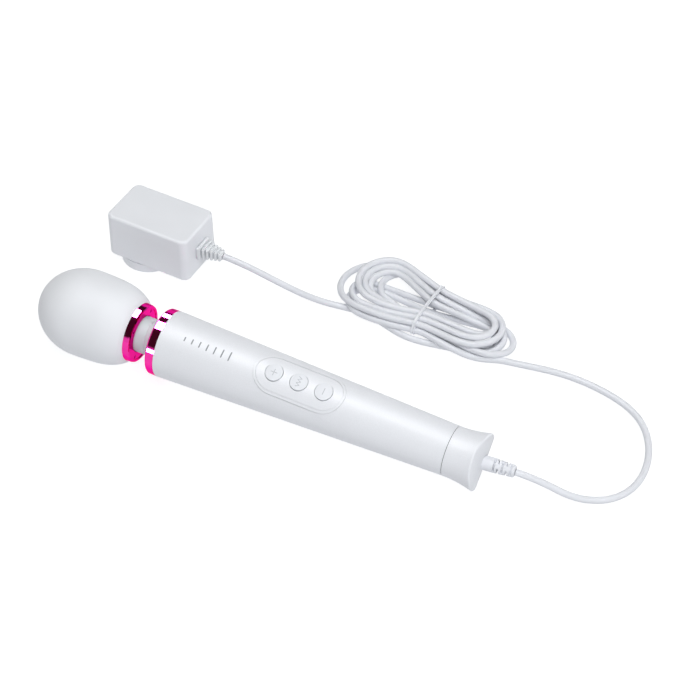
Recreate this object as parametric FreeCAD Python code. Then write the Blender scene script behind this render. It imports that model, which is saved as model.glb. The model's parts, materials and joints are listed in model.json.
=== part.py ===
"""Handheld wand massager with its mains adapter and a tied hank of cord.

Millimetres, +Z up. The origin is on the floor, under the middle of the wand, whose head
points towards -X and whose tail points towards +X. The wand is drawn along its own axis,
where x is the distance from the head's widest circle, and is then laid down on its head
and tail. The adapter is drawn about its own centre and then turned and moved into place.
"""
import FreeCAD, Part
import math
import os

V = FreeCAD.Vector
X_AXIS = V(1, 0, 0)
Y_AXIS = V(0, 1, 0)
Z_AXIS = V(0, 0, 1)
SEAM_TURN = -90

# Head, measured from its widest circle
HEAD_R = 30.0
HEAD_NOSE = 34.0
HEAD_BACK = 38.8
HEAD_BACK_R = 20.7
HEAD_REAR_CURVE = [(0, 30.0), (10, 29.75), (20, 29.1), (26, 28.0), (31, 26.3), (35, 24.2), (37.5, 22.3)]
COVER_WALL = 2.6
SHELL_WALL = 2.0
RING_FACE = 43.5
RING_SCREWS = 4
RING_SCREW_PCD_R = 16.4

# Motor in the head
MOTOR_R = 13.0
MOTOR_FRONT = -2.0
MOTOR_BACK = 28.0
SHAFT_R = 1.5
RUNNING_GAP = 0.03
ROTOR_R = 7.6
WEIGHT_R = 12.0

# Neck
NECK_R = 12.65
NECK_PIVOT = 50.2

# Handle: a straight taper from the collar ring to the tail cap
COLLAR_FRONT = 56.9
HANDLE_FRONT = 63.4
HANDLE_FRONT_R = 23.25
HANDLE_BACK = 268.6
HANDLE_BACK_R = 16.95
HANDLE_WALL = 2.2
TAPER = (HANDLE_FRONT_R - HANDLE_BACK_R) / (HANDLE_BACK - HANDLE_FRONT)

# Button panel, turned about the wand's axis away from straight up
PANEL_ROLL = 20.8
PANEL_X = 163.3
PANEL_HALF_LENGTH = 32.3
PANEL_END = 15.0
PANEL_HALF_WIDTH = 13.65
BEZEL_WIDTH = 1.8
LINE_GAP = 0.15
BUTTON_X = [145.3, 163.1, 180.9]
BUTTON_R = 5.9
BUTTON_GAP = 0.3
BUTTON_TRAVEL = 0.5
BUTTON_PROUD = 0.7

# Tail cap
TAIL_START = 269.0
TAIL_TIP = 291.0
TAIL_TIP_R = 19.6
TAIL_CROWN_R = 52.0
TAIL_RIDGE_ANGLE = 40.8
BOOT_START = 285.0
BOOT_BEND = 5.5
BOOT_R = 4.85
BOOT_LENGTH = 27.0

# Resting attitude of the wand
REST_LIFT = 0.1
TAIL_REST_X = 288.8
TAIL_REST_R = 19.066
REST_TILT = math.degrees(math.asin((HEAD_R + REST_LIFT - TAIL_REST_R) / TAIL_REST_X))
WAND_X = -128.65

# Cord
CORD_D = 4.6
BOOT_CORE_WALL = 0.5

# Adapter
ADAPTER_X = -126.4
ADAPTER_Y = 97.6
ADAPTER_YAW = -3.2
CASE_LENGTH = 65.6
CASE_WIDTH = 40.4
CASE_TOP = 43.6
CASE_SPLIT = 10.6
CASE_BOTTOM = 8.0
CASE_CORNER = 5.5
CASE_WALL = 2.0
CASE_DRAFT = 0.011
PUCK_R = 20.2
PUCK_X = -11.5
BLADE_PITCH = 12.7
BLADE_WIDTH = 6.35
BLADE_THICK = 1.5
BLADE_LENGTH = 17.0
BLADE_PIVOT_X = -20.5
BLADE_PIVOT_Z = 4.1
ADAPTER_BOOT_Z = 25.2

# Hank: a tapered stadium between two round ends
HANK_LEFT = (28.5, 131.3, 32.2)
HANK_RIGHT = (114.8, 119.6, 22.4)
HANK_BOTTOM = 0.1
HANK_HEIGHT = 17.0
TIE_X = 71.3
TIE_WIDTH = 2.6
TIE_THICK = 0.8
TIE_FRONT = 100.8
TIE_REAR = 143.4
TIE_BOTTOM = 0.15
TIE_TOP = 16.4
TIE_CORNER = 4.0

# Route of the cord from the tail to the hank, corner by corner
TAIL_ROUTE = [
    (183.3, 2.6, 17.95), (195.0, 3.6, 16.6), (206.0, 6.0, 11.8), (216.6, 9.0, 5.8),
    (227.2, 12.6, 2.6), (238.6, 17.6, 2.35), (247.4, 26.2, 2.35), (252.6, 38.0, 2.35),
    (253.9, 51.6, 2.35), (251.6, 66.2, 2.35), (246.2, 80.0, 2.35), (237.6, 92.2, 2.35),
    (226.4, 100.6, 2.35), (213.4, 105.8, 2.35), (199.6, 109.2, 2.35), (185.4, 111.0, 2.35),
    (171.0, 111.0, 2.35), (157.2, 109.4, 2.35), (144.2, 107.2, 2.35), (131.0, 105.4, 2.35),
]
# Route of the cord from the adapter to the hank
ADAPTER_ROUTE = [
    (-74.7, 94.7, 25.2), (-60.0, 94.3, 24.2), (-45.5, 95.6, 19.6), (-31.0, 98.2, 13.2),
    (-17.0, 101.2, 7.0), (-3.0, 104.2, 2.9), (10.9, 106.0, 2.35),
]


def save(name, shape):
    """Write one node, as one solid or a group of solids."""
    solids = shape.Solids
    body = solids[0] if len(solids) == 1 else Part.makeCompound(solids)
    body.exportStep("parts/" + name + ".step")


def turned(points):
    """Solid of revolution about the X axis from (x, radius) points, with its seam underneath."""
    wire = Part.makePolygon([V(x, 0, -r) for x, r in points + points[:1]])
    return Part.Face(wire).revolve(V(0, 0, 0), X_AXIS, 360)


def rod(x0, x1, radius, y=0, z=0):
    return Part.makeCylinder(radius, x1 - x0, V(x0, y, z), X_AXIS)


def tube(x0, x1, inner, outer):
    return turned([(x0, inner), (x1, inner), (x1, outer), (x0, outer)])


def block(x0, x1, y0, y1, z0, z1):
    return Part.makeBox(x1 - x0, y1 - y0, z1 - z0, V(x0, y0, z0))


def post(x, y, z0, z1, radius):
    return Part.makeCylinder(radius, z1 - z0, V(x, y, z0))


def fused(shapes):
    return shapes[0].multiFuse(shapes[1:]).removeSplitter() if len(shapes) > 1 else shapes[0]


def handle_r(x):
    return HANDLE_FRONT_R - TAPER * (x - HANDLE_FRONT)


def taper_solid(x0, x1, inset):
    """Solid cone that follows the handle's taper, inset by a distance, with its seam underneath."""
    r0 = handle_r(x0) - inset
    r1 = handle_r(x1) - inset
    cone = Part.makeCone(r0, r1, x1 - x0, V(x0, 0, 0), X_AXIS)
    cone.rotate(V(0, 0, 0), X_AXIS, 180)
    return cone


def lay_down(shape):
    """Tip the wand from its own axis on to the floor."""
    result = shape.copy()
    result.rotate(V(0, 0, 0), Y_AXIS, REST_TILT)
    result.translate(V(WAND_X, 0, HEAD_R + REST_LIFT))
    return result


def roll(shape):
    """Turn a shape drawn facing +Z to face the way the button panel faces."""
    result = shape.copy()
    result.rotate(V(0, 0, 0), X_AXIS, PANEL_ROLL)
    return result


def save_wand(name, shape):
    save(name, lay_down(shape))


def save_panel(name, shape):
    save(name, lay_down(roll(shape)))


# ---------------------------------------------------------------- head

def head_solid(inset):
    """The head's full shape, drawn in by a distance."""
    nose = HEAD_NOSE - inset
    widest = HEAD_R - inset
    ellipse = Part.Ellipse(V(0, 0, 0), nose, widest)
    front = Part.ArcOfEllipse(ellipse, math.pi / 2, math.pi).toShape()
    rear = HEAD_REAR_CURVE + [(HEAD_BACK, HEAD_BACK_R)]
    curve = Part.BSplineCurve()
    curve.interpolate(Points=[V(x, r - inset, 0) for x, r in rear],
                      InitialTangent=X_AXIS, FinalTangent=V(0.63, -0.78, 0))
    back = Part.makeLine(V(HEAD_BACK, HEAD_BACK_R - inset, 0), V(HEAD_BACK, 0, 0))
    axis = Part.makeLine(V(HEAD_BACK, 0, 0), V(-nose, 0, 0))
    wire = Part.Wire(Part.__sortEdges__([front, curve.toShape(), back, axis]))
    wire.rotate(V(0, 0, 0), X_AXIS, SEAM_TURN)
    return Part.Face(wire).revolve(V(0, 0, 0), X_AXIS, 360)


def head_cover():
    return head_solid(0).cut(head_solid(COVER_WALL))


def head_shells():
    """Hard front and rear shells under the soft cover, split just behind the widest circle."""
    wall = head_solid(COVER_WALL + 0.1).cut(head_solid(COVER_WALL + 0.1 + SHELL_WALL))
    front = wall.common(block(-40, 3.95, -40, 40, -40, 40))
    lip = tube(-2.0, 3.95, 23.0, 25.1)
    front = front.fuse(lip)
    rear = wall.common(block(4.05, 36.6, -40, 40, -40, 40))
    bulkhead = tube(33.6, 36.6, 9.9, 19.0)
    seat = tube(5.0, 33.6, 18.0, 20.0)
    rear = fused([rear, bulkhead, seat])
    return front, rear


def head_ring():
    """Bright ring that closes the head's back, with a stepped flat face and screw pockets."""
    ring = turned([
        (38.85, 12.95), (38.85, 20.6), (42.2, 20.35), (43.1, 20.0), (RING_FACE, 19.2),
        (RING_FACE, 18.2), (42.9, 18.0), (42.9, 12.95),
    ])
    for x, y, z in ring_screw_places(42.0):
        ring = ring.cut(rod(x, x + 2, 1.35, y, z))
        ring = ring.cut(rod(x - 5, x + 2, 0.75, y, z))
    return ring


def ring_screw_places(x):
    places = []
    for i in range(RING_SCREWS):
        angle = math.radians(44 + 360 * i / RING_SCREWS)
        places.append((x, RING_SCREW_PCD_R * math.cos(angle), RING_SCREW_PCD_R * math.sin(angle)))
    return places


def head_ring_screws():
    """Small pan-head screws in the ring's face, each with a single slot."""
    screws = []
    for x, y, z in ring_screw_places(42.0):
        screw = rod(x, x + 0.75, 1.25, y, z).fuse(rod(x - 4.8, x, 0.7, y, z))
        screws.append(screw.cut(block(x + 0.45, x + 1, y - 0.2, y + 0.2, z - 1.5, z + 1.5)))
    return Part.makeCompound(screws)


def neck_socket_head():
    """Flanged spigot that grips the front end of the neck's rubber core."""
    spigot = turned([(36.7, 3.2), (45.5, 3.2), (45.5, 5.4), (38.6, 5.4), (38.6, 15.0), (36.7, 15.0)])
    return spigot


# ---------------------------------------------------------------- motor

def motor_can():
    wall = 1.2
    can = turned([
        (MOTOR_FRONT, 4.0), (MOTOR_FRONT, MOTOR_R), (MOTOR_BACK, MOTOR_R),
        (MOTOR_BACK, MOTOR_R - wall), (MOTOR_FRONT + 1.5, MOTOR_R - wall), (MOTOR_FRONT + 1.5, 4.0),
    ])
    return can


def motor_end_bell():
    """Moulded plastic end with a bearing seat and two wire holes."""
    bell = turned([
        (MOTOR_BACK + 0.02, 4.0), (MOTOR_BACK + 0.02, MOTOR_R), (MOTOR_BACK + 2.4, MOTOR_R),
        (MOTOR_BACK + 2.4, 5.6), (MOTOR_BACK + 4.4, 5.6), (MOTOR_BACK + 4.4, 4.0),
    ])
    for side in (-1, 1):
        bell = bell.cut(rod(MOTOR_BACK - 1, MOTOR_BACK + 4, 1.2, side * 9, 0))
    return bell


def motor_magnets():
    """Two arc magnets inside the can."""
    ring = tube(3.0, 25.0, ROTOR_R + 0.8, MOTOR_R - 1.22)
    gap = block(0, 30, -20, 20, -2.5, 2.5)
    return ring.cut(gap)


def bearings():
    """Sintered sleeve bearings in the can's nose and in the end bell."""
    front = tube(MOTOR_FRONT - 0.6, MOTOR_FRONT + 2.4, SHAFT_R + RUNNING_GAP, 3.99)
    rear = tube(MOTOR_BACK + 0.5, MOTOR_BACK + 4.2, SHAFT_R + RUNNING_GAP, 3.99)
    return Part.makeCompound([front, rear])


def damping_sleeve():
    """Ribbed rubber sleeve between the motor can and the rear shell's seat."""
    shapes = [tube(4.0, 27.0, MOTOR_R + 0.02, MOTOR_R + 3.2)]
    for i in range(4):
        x = 6.0 + i * 6.0
        shapes.append(tube(x, x + 2.5, MOTOR_R + 3.0, 17.95))
    return fused(shapes)


def rotor():
    shaft = rod(-20.0, MOTOR_BACK + 4.0, SHAFT_R)
    core = tube(4.5, 23.5, SHAFT_R, ROTOR_R)
    for i in range(5):
        slot = block(4, 24, ROTOR_R - 2.6, ROTOR_R + 1, -0.8, 0.8)
        slot.rotate(V(0, 0, 0), X_AXIS, 72 * i)
        core = core.cut(slot)
    commutator = tube(24.0, 27.0, SHAFT_R, 3.4)
    return shaft, fused([core, commutator])


def eccentric_weight():
    """Half-round steel weight on a hub, clamped to the shaft by a set screw."""
    half = rod(-17.0, -7.0, WEIGHT_R).common(block(-18, -6, -20, 20, -20, 0))
    hub = rod(-17.0, -7.0, 4.4)
    weight = half.fuse(hub).cut(rod(-18, -6, SHAFT_R))
    return weight.cut(post(-12.0, 0, 0, 6, 1.0)).removeSplitter()


def weight_screw():
    screw = post(-12.0, 0, SHAFT_R + 0.02, 4.2, 0.98)
    return screw.cut(block(-12.2, -11.8, -1.2, 1.2, 3.7, 4.4))


# ---------------------------------------------------------------- neck

def neck_pieces():
    """Soft sleeve, rubber core with its cable way, and a stiffening ring half way along."""
    sleeve = tube(RING_FACE + 0.35, COLLAR_FRONT - 0.35, NECK_R - 1.6, NECK_R)
    core = tube(43.3, 57.4, 5.5, 9.0)
    ring = tube(NECK_PIVOT - 1.0, NECK_PIVOT + 1.0, 9.05, NECK_R - 1.65)
    return sleeve, core, ring


def neck_socket_handle():
    spigot = turned([(55.2, 3.2), (66.0, 3.2), (66.0, 19.5), (63.6, 19.5), (63.6, 5.4), (55.2, 5.4)])
    return spigot


def motor_leads():
    """Two insulated wires from the motor through the neck to the main board."""
    return Part.makeCompound([rod(35.5, 72.0, 0.8, 0, side * 1.4) for side in (-1, 1)])


# ---------------------------------------------------------------- handle

def collar_ring():
    return turned([
        (COLLAR_FRONT, 13.2), (COLLAR_FRONT, 22.1), (57.3, 22.75), (58.0, 23.15),
        (HANDLE_FRONT - 0.05, 23.25), (HANDLE_FRONT - 0.05, 19.6), (59.6, 19.6), (59.6, 13.2),
    ])


def stadium_prism(shrink, z0, z1):
    """Stadium with elliptical ends, extruded along +Z, drawn in by a distance."""
    end = PANEL_END - shrink
    half_width = PANEL_HALF_WIDTH - shrink
    straight = PANEL_HALF_LENGTH - PANEL_END
    bar = block(PANEL_X - straight, PANEL_X + straight, -half_width, half_width, z0, z1)
    shapes = [bar]
    for side in (-1, 1):
        ellipse = Part.Ellipse(V(PANEL_X + side * straight, 0, z0), end, half_width).toShape()
        shapes.append(Part.Face(Part.Wire(ellipse)).extrude(V(0, 0, z1 - z0)))
    return fused(shapes)


def handle_tube():
    outer = taper_solid(HANDLE_FRONT, HANDLE_BACK, 0)
    inner = taper_solid(HANDLE_FRONT - 1, HANDLE_BACK + 1, HANDLE_WALL)
    return outer.cut(inner).cut(roll(stadium_prism(0, 0, 40)))


def panel_skin(proud, depth):
    """Curved layer of the panel, standing proud of the handle and reaching a depth under it."""
    x0 = PANEL_X - PANEL_HALF_LENGTH - 2
    x1 = PANEL_X + PANEL_HALF_LENGTH + 2
    layer = taper_solid(x0, x1, -proud).cut(taper_solid(x0 - 1, x1 + 1, depth))
    return layer.common(block(x0, x1, -20, 20, 0, 40))


def panel_bezel():
    ring = stadium_prism(LINE_GAP, 0, 40).cut(stadium_prism(BEZEL_WIDTH, -1, 41))
    return panel_skin(0.2, HANDLE_WALL).common(ring)


def button_panel():
    plate = panel_skin(0.05, HANDLE_WALL - 0.3).common(stadium_prism(BEZEL_WIDTH + LINE_GAP, 0, 40))
    for x in BUTTON_X:
        plate = plate.cut(post(x, 0, 0, 40, BUTTON_R + BUTTON_GAP))
    return plate


def button(x, grooves):
    """Domed key with a hidden flange, an actuator and an engraved symbol."""
    top = handle_r(x) + BUTTON_PROUD
    dome_r = 42.0
    dome = Part.makeSphere(dome_r, V(x, 0, top - dome_r))
    cap = post(x, 0, 15.4, top, BUTTON_R).common(dome)
    flange = post(x, 0, 15.0, 15.8, BUTTON_R + 0.7)
    actuator = post(x, 0, 14.3, 15.1, 1.6)
    key = fused([cap, flange, actuator])
    for groove in grooves:
        key = key.cut(groove)
    return key


def stroke(x0, y0, x1, y1, z, width=0.55):
    """Straight engraving groove between two points, cut down to a height."""
    length = math.hypot(x1 - x0, y1 - y0)
    bar = block(-width / 2, length + width / 2, -width / 2, width / 2, z, z + 3)
    bar.rotate(V(0, 0, 0), Z_AXIS, math.degrees(math.atan2(y1 - y0, x1 - x0)))
    bar.translate(V(x0, y0, 0))
    return bar


def button_grooves(x):
    """Engraving strokes of the three symbols: plus, wave and minus."""
    z = handle_r(x) + BUTTON_PROUD - 0.3
    across = [stroke(x, -2.3, x, 2.3, z)]
    along = [stroke(x - 2.3, 0, x + 2.3, 0, z)]
    wave = []
    steps = 6
    for i in range(steps):
        y0 = -3.6 + 7.2 * i / steps
        y1 = y0 + 7.2 / steps
        side = 1.2 if i % 2 == 0 else -1.2
        wave.append(stroke(x - side, y0, x + side, y1, z, 0.5))
    return across + along, wave, across


def keypad_parts():
    """Membrane, tact switches and the switch board under the three buttons."""
    membrane = block(134, 192, -8.2, 8.2, 13.0, 13.6)
    switches = []
    for x in BUTTON_X:
        switches.append(block(x - 3, x + 3, -3, 3, 9.7, 12.2).fuse(post(x, 0, 12.2, 12.9, 1.7)))
    board = block(130, 196, -9.5, 9.5, 8.0, 9.6)
    return membrane, Part.makeCompound(switches), board


def lug_places():
    return [(x, side * (handle_r(x) - 8.6)) for x in (84.0, 246.0) for side in (-1, 1)]


def chassis():
    """Two half shells inside the handle, screwed together through four lugs."""
    x0 = HANDLE_FRONT + 3.5
    x1 = 262.0
    wall = taper_solid(x0, x1, HANDLE_WALL + 0.15).cut(taper_solid(x0 - 1, x1 + 1, HANDLE_WALL + 1.6))
    lower = wall.common(block(x0, x1, -30, 30, -30, -0.1))
    upper = wall.common(block(x0, x1, -30, 30, 0.1, 30))
    upper = upper.cut(block(126, 200, -30, 30, -1, 30))
    room = taper_solid(x0, x1, HANDLE_WALL + 0.8)
    for x, y in lug_places():
        reach = 7.0 if y > 0 else -7.0
        low = block(x - 4, x + 4, min(y - 2.6, y + reach), max(y + 2.6, y + reach), -4.1, -0.1)
        high = block(x - 4, x + 4, min(y - 2.6, y + reach), max(y + 2.6, y + reach), 0.1, 4.1)
        hole = post(x, y, -6, 6, 1.25)
        lower = lower.fuse(low.common(room)).cut(hole)
        upper = upper.fuse(high.common(room)).cut(hole)
    return lower, upper


def chassis_screws():
    screws = []
    for x, y in lug_places():
        screws.append(post(x, y, -4.0, 4.15, 1.2).fuse(post(x, y, 4.15, 5.8, 2.2)))
    return Part.makeCompound([s.cut(block(-0.3 + s.BoundBox.Center.x, 0.3 + s.BoundBox.Center.x,
                                          -30, 30, 5.3, 6)) for s in screws])


def main_board():
    return block(92, 238, -9.5, 9.5, -1.6, 0)


def board_chips():
    """Motor driver, controller and regulator packages."""
    places = [(112, 3, 8, 6, 1.2), (152, -2, 7, 7, 1.0), (214, 3, 6, 6.5, 2.2)]
    return Part.makeCompound([block(x, x + dx, y - dy / 2, y + dy / 2, 0.02, dz)
                              for x, y, dx, dy, dz in places])


def board_capacitors():
    places = [(104, -4, 3.0), (134, 4.5, 2.5), (226, -4, 4.0)]
    return Part.makeCompound([post(x, y, 0.02, 2.4 * r, r) for x, y, r in places])


# ---------------------------------------------------------------- tail

def boot_place(shape):
    """Swing a piece drawn along the wand's axis into the boot's bent direction."""
    result = shape.copy()
    result.rotate(V(BOOT_START, 0, 0), Z_AXIS, BOOT_BEND)
    return result


def crown():
    """Barrel-shaped end of the tail: a cylinder whose axis joins the two tail tips."""
    centre = TAIL_TIP - TAIL_CROWN_R
    barrel = Part.makeCylinder(TAIL_CROWN_R, 80, V(centre, -40, 0), Y_AXIS)
    barrel.rotate(V(0, 0, 0), X_AXIS, TAIL_RIDGE_ANGLE)
    return barrel


def tail_cap():
    """Flared end cap with a spigot in the handle, a barrel-shaped end and a cord hole."""
    flare = Part.BSplineCurve()
    flare.interpolate([V(x, r, 0) for x, r in [
        (TAIL_START, HANDLE_BACK_R), (273, 17.0), (277, 17.3), (282, 17.95), (286, 18.7), (290, 19.6),
        (293, 20.4)]])
    edges = [
        flare.toShape(),
        Part.makeLine(V(293, 20.4, 0), V(293, 0, 0)),
        Part.makeLine(V(293, 0, 0), V(TAIL_START, 0, 0)),
        Part.makeLine(V(TAIL_START, 0, 0), V(TAIL_START, HANDLE_BACK_R, 0)),
    ]
    outline = Part.Wire(Part.__sortEdges__(edges))
    outline.rotate(V(0, 0, 0), X_AXIS, SEAM_TURN)
    body = Part.Face(outline).revolve(V(0, 0, 0), X_AXIS, 360)
    body = body.common(crown())
    rim = [e for e in body.Edges if e.BoundBox.XMin > 284]
    body = body.makeFillet(1.2, rim)
    hollow = turned([(TAIL_START - 1, 0), (TAIL_START - 1, 14.0), (278, 14.0), (285.7, 9.5), (285.7, 0)])
    spigot = tube(262.6, TAIL_START, 12.6, 14.55)
    body = body.cut(hollow).fuse(spigot)
    return body.cut(boot_place(rod(BOOT_START - 4, 300, BOOT_R + 0.02))).removeSplitter()


def tail_gasket():
    return tube(HANDLE_BACK + 0.02, TAIL_START - 0.02, 14.6, HANDLE_BACK_R - 0.45)


def strain_relief(start, length, r0, r1, collar, slots):
    """Tapered boot along X: a plain collar, then slots that take turns between two sides."""
    boot = turned([
        (start, 0), (start, r0), (start + collar, r0), (start + length - 0.7, r1),
        (start + length, r1 - 0.7), (start + length, 0),
    ])
    core = rod(start, start + length, CORD_D / 2 + BOOT_CORE_WALL)
    pitch = (length - collar) / (slots + 0.3)
    for i in range(slots):
        x = start + collar + 0.3 + i * pitch
        for side in (-1, 1):
            cutter = block(x, x + 1.2, -8, 8, side * 4.9 - 3.3, side * 4.9 + 3.3)
            cutter.rotate(V(0, 0, 0), X_AXIS, 90 * (i % 2))
            boot = boot.cut(cutter.cut(core))
    return boot


def tail_boot():
    boot = strain_relief(BOOT_START, BOOT_LENGTH, BOOT_R, 4.1, 12.5, 5)
    flange = rod(BOOT_START - 2.0, BOOT_START - 0.02, 6.4)
    boot.rotate(V(0, 0, 0), X_AXIS, TAIL_RIDGE_ANGLE)
    return boot_place(boot.fuse(flange))


def cord_clamp():
    """Saddle that grips the cord inside the tail, with two screw lugs."""
    saddle = block(274.0, 279.0, -8.0, 8.0, -1.0, 3.6).cut(rod(273, 280, CORD_D / 2))
    base = block(273.0, 280.0, -8.6, 8.6, -5.4, -1.02).cut(rod(272, 281, CORD_D / 2))
    for side in (-1, 1):
        hole = post(276.5, side * 5.6, -5, 4, 1.05)
        saddle = saddle.cut(hole)
        base = base.cut(hole)
    return Part.makeCompound([saddle, base])


def clamp_screws():
    screws = []
    for side in (-1, 1):
        screw = post(276.5, side * 5.6, -4.6, 3.62, 1.0).fuse(post(276.5, side * 5.6, 3.62, 4.8, 1.9))
        screws.append(screw.cut(block(274.5, 278.5, side * 5.6 - 0.25, side * 5.6 + 0.25, 4.3, 5)))
    return Part.makeCompound(screws)


def inner_lead():
    """Cord's own jacket inside the housing, from the terminal block to the boot."""
    return rod(252.0, BOOT_START - 2.6, CORD_D / 2)


def terminal_block():
    return block(244.0, 251.8, -5.0, 5.0, -3.5, 3.5)


# ---------------------------------------------------------------- cord

def corner_radii(points):
    """Largest arcs that the runs allow at each inner point of a route."""
    radii = []
    for before, here, after in zip(points, points[1:], points[2:]):
        turn = (here - before).getAngle(after - here)
        shorter = min((here - before).Length, (after - here).Length)
        radii.append(0.45 * shorter / math.tan(turn / 2))
    return radii


def route_wire(points):
    """Straight runs joined by tangent arcs."""
    edges = []
    start = points[0]
    for i, radius in enumerate(corner_radii(points)):
        before, here, after = points[i], points[i + 1], points[i + 2]
        arrive = (here - before).normalize()
        leave = (after - here).normalize()
        turn = arrive.getAngle(leave)
        cut = radius * math.tan(turn / 2)
        arc_start = here - arrive * cut
        arc_end = here + leave * cut
        inward = (leave - arrive).normalize()
        middle = here + inward * (radius / math.cos(turn / 2) - radius)
        edges.append(Part.LineSegment(start, arc_start).toShape())
        edges.append(Part.Arc(arc_start, middle, arc_end).toShape())
        start = arc_end
    edges.append(Part.LineSegment(start, points[-1]).toShape())
    return Part.Wire(edges)


def cord_tube(name, route):
    """Round cord along a route, with its radii, length and volume check printed."""
    points = [V(*p) for p in route]
    wire = route_wire(points)
    first = (points[1] - points[0]).normalize()
    circle = Part.Wire(Part.Circle(points[0], first, CORD_D / 2).toShape())
    solid = wire.makePipeShell([circle], True, False)
    expected = wire.Length * math.pi * CORD_D ** 2 / 4
    radii = ", ".join("%.0f" % r for r in corner_radii(points))
    print("%s: length %.1f, volume ratio %.4f" % (name, wire.Length, solid.Volume / expected))
    print("  arc radii: " + radii)
    return solid


def hank_solid():
    """Tapered stadium: two round ends and the hull between them."""
    (x0, y0, r0), (x1, y1, r1) = HANK_LEFT, HANK_RIGHT
    along = math.atan2(y1 - y0, x1 - x0)
    lean = math.acos((r0 - r1) / math.hypot(x1 - x0, y1 - y0))
    corners = []
    for x, y, r, side in ((x0, y0, r0, 1), (x1, y1, r1, 1), (x1, y1, r1, -1), (x0, y0, r0, -1)):
        angle = along + side * lean
        corners.append(V(x + r * math.cos(angle), y + r * math.sin(angle), HANK_BOTTOM))
    hull = Part.Face(Part.makePolygon(corners + corners[:1])).extrude(V(0, 0, HANK_HEIGHT))
    ends = [
        Part.makeCylinder(r, HANK_HEIGHT, V(x, y, HANK_BOTTOM))
        for x, y, r in ((x0, y0, r0), (x1, y1, r1))
    ]
    return fused([hull] + ends)


def tie_loop(inset, half):
    """Filled rounded section of the tie, drawn in by a distance and of a given half width."""
    box = block(TIE_X - half, TIE_X + half, TIE_FRONT + inset, TIE_REAR - inset,
                TIE_BOTTOM + inset, TIE_TOP - inset)
    corners = [e for e in box.Edges if abs(e.Vertexes[0].X - e.Vertexes[1].X) > 1]
    return box.makeFillet(TIE_CORNER - inset, corners)


def hank_tie():
    return tie_loop(0, TIE_WIDTH / 2).cut(tie_loop(TIE_THICK, TIE_WIDTH))


def cord_hank():
    """Closed outer shape of the hank, with a shallow groove under the tie."""
    groove = block(TIE_X - 1.5, TIE_X + 1.5, 80, 170, -1, 40).cut(tie_loop(TIE_THICK + 0.05, 2))
    return hank_solid().cut(groove)


# ---------------------------------------------------------------- adapter

def adapter_place(shape):
    result = shape.copy()
    result.rotate(V(0, 0, 0), Z_AXIS, ADAPTER_YAW)
    result.translate(V(ADAPTER_X, ADAPTER_Y, 0))
    return result


def save_adapter(name, shape):
    save(name, adapter_place(shape))


def rounded_block(length, width, z0, z1, corner):
    box = block(-length / 2, length / 2, -width / 2, width / 2, z0, z1)
    upright = [e for e in box.Edges if abs(e.Vertexes[0].Z - e.Vertexes[1].Z) > 1]
    return box.makeFillet(corner, upright)


def case_layer(z0, z1, inset):
    """Drafted rounded block of the case between two heights."""
    wires = []
    for z in (z0, z1):
        grow = 2 * (CASE_TOP - z) * CASE_DRAFT - 2 * inset
        box = rounded_block(CASE_LENGTH + grow, CASE_WIDTH + grow, z, z + 2, CASE_CORNER - inset * 0.6)
        bottom = [f for f in box.Faces if abs(f.CenterOfMass.z - z) < 0.01][0]
        wires.append(bottom.OuterWire)
    return Part.makeLoft(wires, True, True)


def level_edges(shape, z):
    return [e for e in shape.Edges if abs(e.BoundBox.ZMin - z) < 0.01 and abs(e.BoundBox.ZMax - z) < 0.01]


def adapter_case():
    """Open-bottomed drafted case, with its top edge rounded over."""
    outer = case_layer(CASE_SPLIT + 0.05, CASE_TOP, 0)
    outer = outer.makeFillet(2.0, level_edges(outer, CASE_TOP))
    inner = case_layer(CASE_SPLIT - 1, CASE_TOP - CASE_WALL, CASE_WALL)
    case = outer.cut(inner)
    return case.cut(rod(20, 40, 3.0, 0, ADAPTER_BOOT_Z))


def adapter_base():
    """Bottom plate with a rounded edge and a rim inside the case."""
    plate = case_layer(CASE_BOTTOM, CASE_SPLIT, 0)
    plate = plate.makeFillet(2.0, level_edges(plate, CASE_BOTTOM))
    rim = case_layer(CASE_SPLIT - 0.5, CASE_SPLIT + 2.5, CASE_WALL + 0.15)
    rim = rim.cut(case_layer(CASE_SPLIT - 0.6, CASE_SPLIT + 3, CASE_WALL + 1.6))
    return plate.fuse(rim).removeSplitter()


def blade_room():
    """Recess in the puck for the folded blades, their carrier and its swing."""
    shapes = [block(BLADE_PIVOT_X - 3.7, BLADE_PIVOT_X + 3.7, -8.0, 8.0, -1, 7.6)]
    for side in (-1, 1):
        y = side * BLADE_PITCH / 2
        shapes.append(block(BLADE_PIVOT_X - 3.7, BLADE_PIVOT_X + BLADE_LENGTH + 0.6,
                            y - 1.2, y + 1.2, -1, 7.6))
    return fused(shapes)


def plug_puck():
    """Round boss under the case, with a shadow gap on top and the blade recess below."""
    disc = Part.makeCylinder(PUCK_R, 7.3, V(PUCK_X, 0, 0))
    disc = disc.makeFillet(0.9, level_edges(disc, 0))
    neck = Part.makeCylinder(PUCK_R - 0.9, 0.68, V(PUCK_X, 0, 7.3))
    puck = disc.fuse(neck).cut(blade_room())
    return puck.cut(hinge_rod(1.0, 11.0))


def hinge_rod(radius, half):
    return Part.makeCylinder(radius, 2 * half, V(BLADE_PIVOT_X, -half, BLADE_PIVOT_Z), Y_AXIS)


def blade_carrier():
    """Plastic drum that carries both blades on the hinge pin."""
    return hinge_rod(3.15, BLADE_PITCH / 2 - BLADE_THICK / 2 - 0.02).cut(hinge_rod(1.0 + RUNNING_GAP, 12))


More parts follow.
